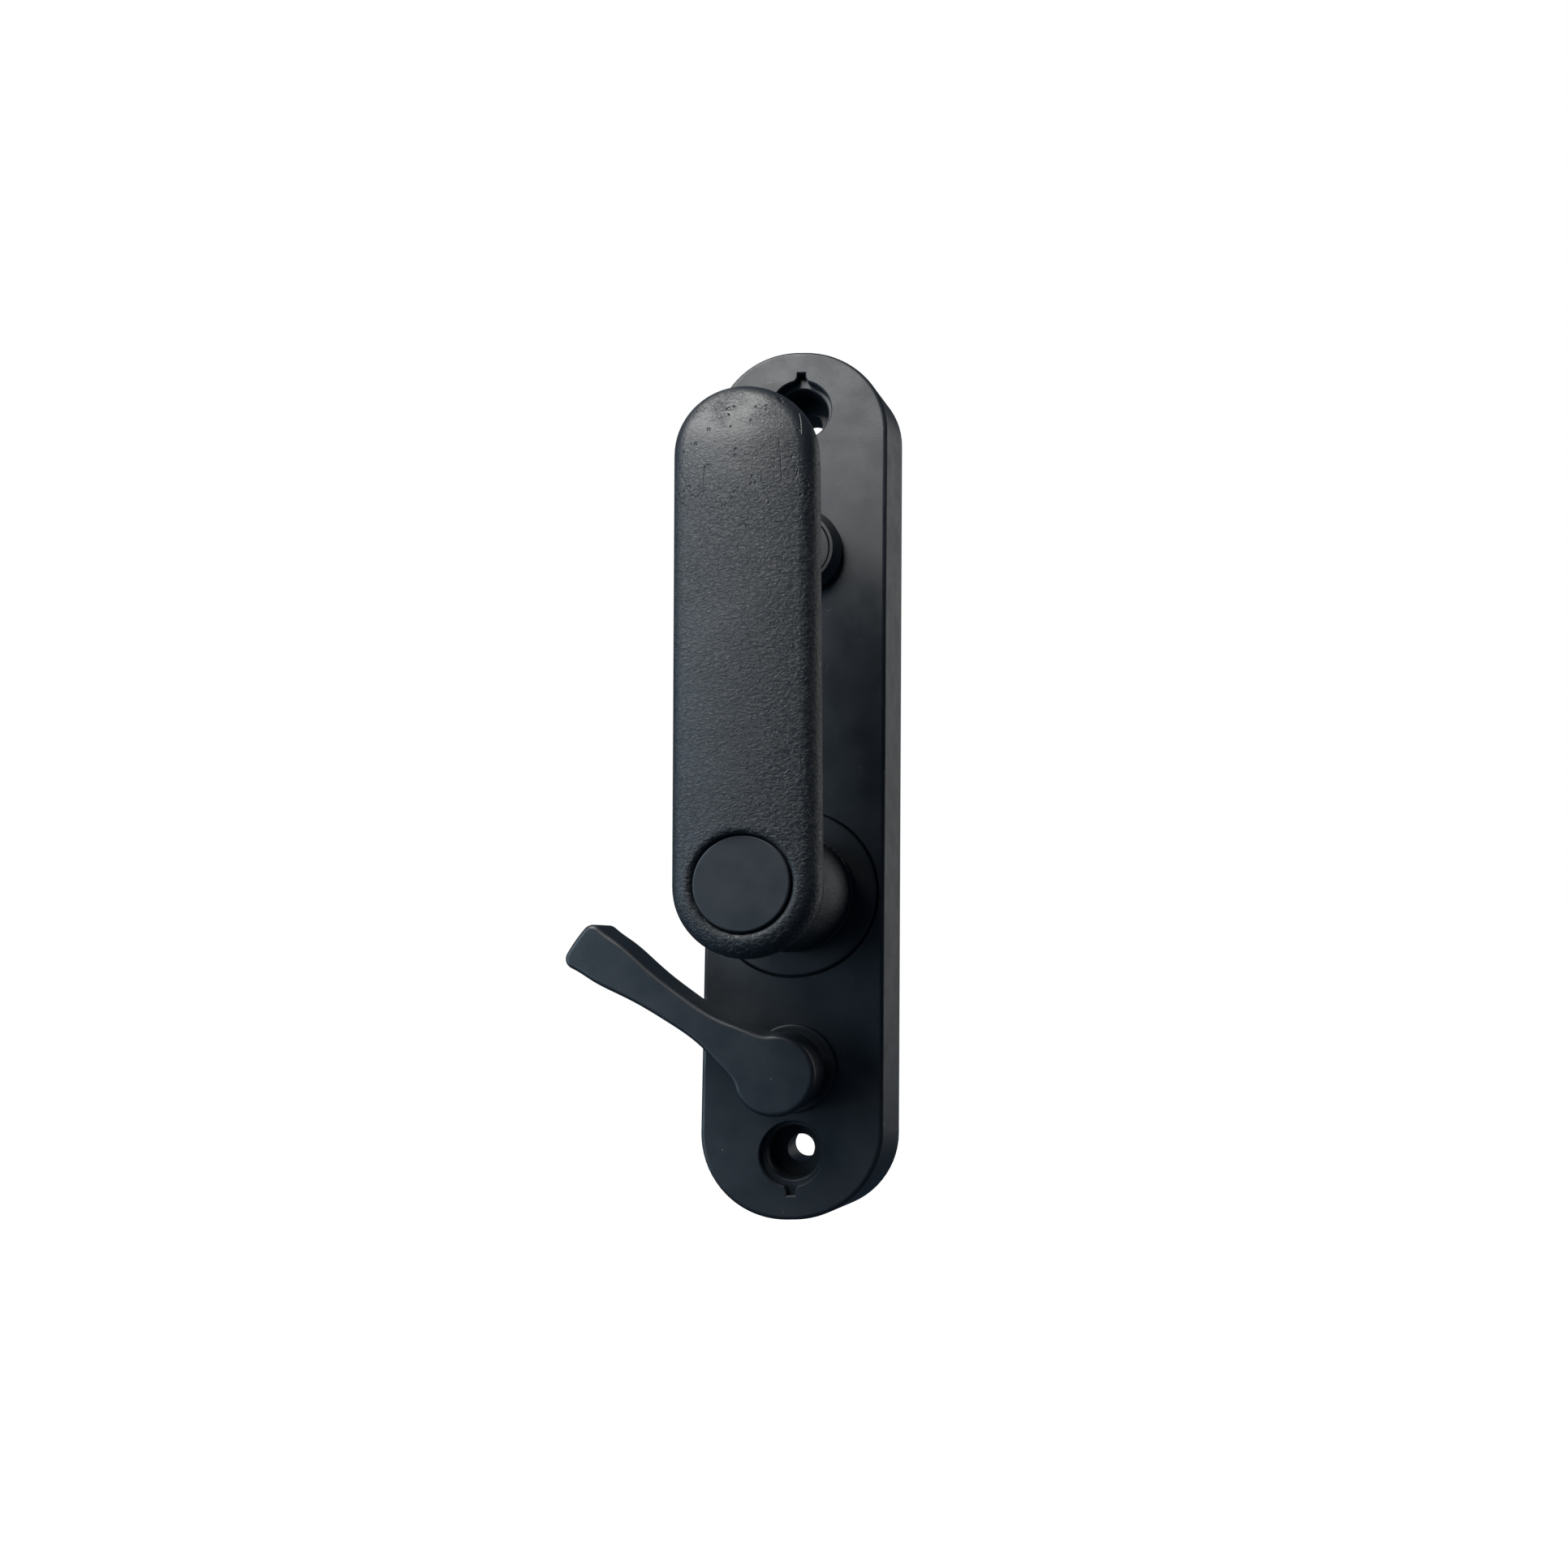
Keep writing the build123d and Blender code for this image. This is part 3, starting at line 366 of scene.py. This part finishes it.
# spins radius and height points about the Y axis
def turned(tree, spots, closed, roundAt=None, roundBy=0.0, around=128):
    line = addNode(tree, "GeometryNodeMeshLine")
    feed(tree, line, {"Count": len(spots)})
    index = addNode(tree, "GeometryNodeInputIndex")
    choose = addNode(tree, "GeometryNodeIndexSwitch", data_type="VECTOR")
    for extra in range(len(spots) - 2):
        choose.index_switch_items.new()
    plug(tree, index.outputs[0], choose.inputs[0])
    for number, point in enumerate(spots):
        plug(tree, point, choose.inputs[number + 1])
    placed = addNode(tree, "GeometryNodeSetPosition")
    feed(tree, placed, {"Geometry": line.outputs[0], "Position": choose.outputs[0]})
    curve = addNode(tree, "GeometryNodeMeshToCurve")
    plug(tree, placed.outputs[0], curve.inputs[0])
    ring = addNode(tree, "GeometryNodeSetSplineCyclic")
    feed(tree, ring, {"Geometry": curve.outputs[0], "Cyclic": closed})
    outline = ring.outputs[0]
    if roundAt is not None:
        chosen = addNode(tree, "FunctionNodeCompare", data_type="INT", operation="EQUAL")
        plug(tree, index.outputs[0], chosen.inputs[2])
        chosen.inputs[3].default_value = roundAt
        fillet = addNode(tree, "GeometryNodeFilletCurve", mode="POLY")
        feed(tree, fillet, {"Curve": outline, "Count": 5, "Limit Radius": True})
        plug(tree, calc(tree, "MULTIPLY", chosen.outputs[0], roundBy), fillet.inputs["Radius"])
        outline = fillet.outputs[0]
    path = addNode(tree, "GeometryNodeCurvePrimitiveCircle")
    feed(tree, path, {"Resolution": around, "Radius": pathRadius})
    upright = addNode(tree, "GeometryNodeSetCurveNormal", mode="Z_UP")
    plug(tree, path.outputs[0], upright.inputs[0])
    spun = addNode(tree, "GeometryNodeCurveToMesh")
    feed(tree, spun, {"Curve": upright.outputs[0], "Profile Curve": outline})
    merged = addNode(tree, "GeometryNodeMergeByDistance")
    feed(tree, merged, {"Geometry": spun.outputs[0], "Distance": mergeGap})
    laid = addNode(tree, "GeometryNodeTransform")
    feed(tree, laid, {"Geometry": merged.outputs[0], "Rotation": (-math.pi / 2, 0, 0)})
    return laid.outputs[0]


def grow(tree, pieceName, values, body, slotName, replaced):
    holder = bpy.data.objects.new(pieceName + "Holder", bpy.data.meshes.new(pieceName + "Seed"))
    bpy.context.scene.collection.objects.link(holder)
    modifier = holder.modifiers.new("grow", "NODES")
    modifier.node_group = tree
    sockets = {item.name: item.identifier for item in tree.interface.items_tree if item.in_out == "INPUT"}
    for label, value in {**values, "Finish": finishes[slotName]}.items():
        modifier[sockets[label]] = value
    graph = bpy.context.evaluated_depsgraph_get()
    mesh = bpy.data.meshes.new_from_object(holder.evaluated_get(graph))
    holder.modifiers.remove(modifier)
    bpy.data.objects.remove(holder)
    mesh.name = pieceName
    shape = bmesh.new()
    shape.from_mesh(mesh)
    bmesh.ops.remove_doubles(shape, verts=shape.verts, dist=mergeGap)
    bmesh.ops.recalc_face_normals(shape, faces=shape.faces)
    shape.to_mesh(mesh)
    shape.free()
    mesh.shade_smooth()
    mesh.set_sharp_from_angle(angle=math.radians(sharpAngle))
    piece = bpy.data.objects.new(pieceName, mesh)
    bpy.context.scene.collection.objects.link(piece)
    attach(piece, body)
    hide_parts(*replaced)
    print("  ", pieceName, len(mesh.polygons), "faces")
    return piece


# ---- turned rings: the collar round the neck and the rose of the latch ----

collarRing = {
    "Stem": 13.4 * mm, "Seat": 12.8 * mm, "Bore": 10.06 * mm,
    "Flat": 0.9 * mm, "Foot": 13.8 * mm, "Dish": 0.35 * mm, "Round": 0.5 * mm,
}
roseRing = {
    "Stem": 7.5 * mm, "Seat": 14.6 * mm, "Bore": 5.06 * mm,
    "Flat": 0.9 * mm, "Foot": 7.2 * mm, "Dish": 0.12 * mm, "Round": 0.4 * mm,
}


def ringTree():
    names = ("Bore", "Stem", "Rim", "Back", "Seat", "Face", "Flat", "Foot", "Dish", "Round", "Axis")
    tree, start = newTree("turnedRing", [(name, "Float") for name in names] + [("Finish", "Material")])
    floor = calc(tree, "SUBTRACT", start["Face"], start["Dish"])
    spots = [spot(tree, radius, height) for radius, height in (
        (start["Bore"], start["Back"]), (start["Stem"], start["Back"]), (start["Stem"], start["Seat"]),
        (start["Rim"], start["Seat"]), (start["Rim"], start["Face"]),
        (calc(tree, "SUBTRACT", start["Rim"], start["Flat"]), start["Face"]),
        (start["Foot"], floor), (start["Bore"], floor))]
    ring = turned(tree, spots, True, roundAt=4, roundBy=start["Round"])
    moved = addNode(tree, "GeometryNodeTransform")
    centre = addNode(tree, "ShaderNodeCombineXYZ")
    plug(tree, start["Axis"], centre.inputs["Z"])
    feed(tree, moved, {"Geometry": ring, "Translation": centre.outputs[0]})
    finishTree(tree, moved.outputs[0], start["Finish"])
    return tree


def growRing(tree, node, sizes, pieceName, slotName):
    low, high = (Vector(corner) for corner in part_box(node))
    values = {**sizes, "Rim": (high.x - low.x) / 2, "Back": -high.y, "Face": -low.y,
              "Axis": (low.z + high.z) / 2}
    return grow(tree, pieceName, values, "backplate", slotName, [node])


rings = ringTree()
growRing(rings, "neck_collar", collarRing, "neckCollar", "black_nylon")
growRing(rings, "latch_bush", roseRing, "latchRose", "black_nylon")
print("stage 4: turned rings grown")


# ---- the six countersunk screws of the back cover ----

coverScrew = {
    "Head": 2.35 * mm, "Head depth": 1.1 * mm, "Shank": 1.25 * mm,
    "Cross long": 2.9 * mm, "Cross wide": 0.62 * mm, "Cross depth": 0.8 * mm,
}
screwRows = 3
screwColumns = 2
crossTurn = 25  # degrees, every screw was driven home to the same angle
rimShare = 0.12  # the upright rim of the head, as a share of its depth


def screwTree():
    names = ("Head", "Head depth", "Shank", "Length", "Cross long", "Cross wide", "Cross depth",
             "Spread", "Span", "Middle")
    tree, start = newTree("coverScrews", [(name, "Float") for name in names] + [("Finish", "Material")])
    rimDepth = calc(tree, "MULTIPLY", start["Head depth"], rimShare)
    pointTop = calc(tree, "SUBTRACT", start["Length"], start["Shank"])
    spots = [spot(tree, radius, height) for radius, height in (
        (0.0, 0.0), (start["Head"], 0.0), (start["Head"], rimDepth), (start["Shank"], start["Head depth"]),
        (start["Shank"], pointTop), (0.0, start["Length"]))]
    body = turned(tree, spots, False, around=32)
    bars = addNode(tree, "GeometryNodeJoinGeometry")
    for quarter in (0, 1):
        bar = addNode(tree, "GeometryNodeMeshCube")
        size = addNode(tree, "ShaderNodeCombineXYZ")
        feed(tree, size, {"X": start["Cross long"], "Y": start["Cross depth"], "Z": start["Cross wide"]})
        plug(tree, size.outputs[0], bar.inputs["Size"])
        turnedBar = addNode(tree, "GeometryNodeTransform")
        turn = math.radians(crossTurn + 90 * quarter)
        feed(tree, turnedBar, {"Geometry": bar.outputs[0], "Rotation": (0, turn, 0)})
        plug(tree, turnedBar.outputs[0], bars.inputs[0])
    cut = addNode(tree, "GeometryNodeMeshBoolean", operation="DIFFERENCE")
    plug(tree, body, cut.inputs[0])
    plug(tree, bars.outputs[0], cut.inputs[1])
    grid = addNode(tree, "GeometryNodeMeshGrid")
    feed(tree, grid, {"Size X": start["Spread"], "Size Y": start["Span"]})
    feed(tree, grid, {"Vertices X": screwColumns, "Vertices Y": screwRows})
    raised = addNode(tree, "GeometryNodeTransform")
    centre = addNode(tree, "ShaderNodeCombineXYZ")
    plug(tree, start["Middle"], centre.inputs["Z"])
    feed(tree, raised, {"Geometry": grid.outputs[0], "Translation": centre.outputs[0]})
    feed(tree, raised, {"Rotation": (math.pi / 2, 0, 0)})
    spread = addNode(tree, "GeometryNodeInstanceOnPoints")
    feed(tree, spread, {"Points": raised.outputs[0], "Instance": cut.outputs[0]})
    finishTree(tree, spread.outputs[0], start["Finish"])
    return tree


def growScrews():
    low, high = (Vector(corner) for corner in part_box("cover_screws"))
    head = 2 * coverScrew["Head"]
    values = {**coverScrew, "Length": high.y - low.y, "Spread": high.x - low.x - head,
              "Span": high.z - low.z - head, "Middle": (low.z + high.z) / 2}
    return grow(screwTree(), "coverScrews", values, "backplate", "zinc_screw", ["cover_screws"])


growScrews()
print("stage 5: cover screws grown")


# ---- stage, light and world ----

light = {
    "sky": {"place": (-0.24, -0.40, 0.53), "aim": (0.0, 0.0, 0.09), "size": (0.46, 0.32), "power": 6.0,
            "tint": (1.0, 0.985, 0.96)},
    "left": {"place": (-0.60, -0.42, 0.02), "aim": (0.0, 0.0, -0.03), "size": (0.5, 0.6), "power": 3.4,
             "tint": (0.62, 0.82, 1.0)},
    "right": {"place": (0.42, 0.40, 0.16), "aim": (0.0, 0.0, 0.03), "size": (0.4, 0.6), "power": 0.95,
              "tint": (1.0, 0.98, 0.95)},
}


def addLight(name, look):
    lampData = bpy.data.lights.new(name, "AREA")
    lampData.shape = "RECTANGLE"
    lampData.size, lampData.size_y = look["size"]
    lampData.energy = look["power"]
    lampData.color = look["tint"]
    lamp = bpy.data.objects.new(name, lampData)
    bpy.context.scene.collection.objects.link(lamp)
    away = Vector(look["aim"]) - Vector(look["place"])
    lamp.matrix_world = Matrix.Translation(look["place"]) @ away.to_track_quat("-Z", "Y").to_matrix().to_4x4()


for lampName, look in light.items():
    addLight(lampName + "Light", look)


def paleFloor():
    ground = bpy.data.meshes.new("paleFloor")
    floorZ = cadLow.z - 60 * mm
    reach = 6.0
    corners = [(x * reach, y * reach, floorZ) for x, y in ((-1, -1), (1, -1), (1, 1), (-1, 1))]
    ground.from_pydata(corners, [], [(0, 1, 2, 3)])
    floor = bpy.data.objects.new("paleFloor", ground)
    bpy.context.scene.collection.objects.link(floor)
    finish, tree, shader = startFinish("palePaper")
    shader.inputs["Base Color"].default_value = (0.10, 0.10, 0.10, 1.0)
    shader.inputs["Roughness"].default_value = 0.9
    shader.inputs["Emission Color"].default_value = (1.0, 1.0, 1.0, 1.0)
    shader.inputs["Emission Strength"].default_value = 1.0
    ground.materials.append(finish)
    floor.visible_glossy = False
    floor.visible_diffuse = False


paleFloor()


def skyWorld():
    world = bpy.data.worlds.new("studioWorld")
    bpy.context.scene.world = world
    world.use_nodes = True
    tree = world.node_tree
    tree.nodes.clear()
    seen = addNode(tree, "ShaderNodeBackground")
    feed(tree, seen, {"Color": (1.0, 1.0, 1.0, 1.0), "Strength": 1.0})
    fill = addNode(tree, "ShaderNodeBackground")
    feed(tree, fill, {"Color": (0.42, 0.66, 1.0, 1.0), "Strength": 0.08})
    path = addNode(tree, "ShaderNodeLightPath")
    pick = addNode(tree, "ShaderNodeMixShader")
    plug(tree, path.outputs["Is Camera Ray"], pick.inputs[0])
    plug(tree, fill.outputs[0], pick.inputs[1])
    plug(tree, seen.outputs[0], pick.inputs[2])
    out = addNode(tree, "ShaderNodeOutputWorld")
    plug(tree, pick.outputs[0], out.inputs[0])


skyWorld()
bpy.context.scene.view_settings.view_transform = "Standard"
print("stage 6: light and floor")
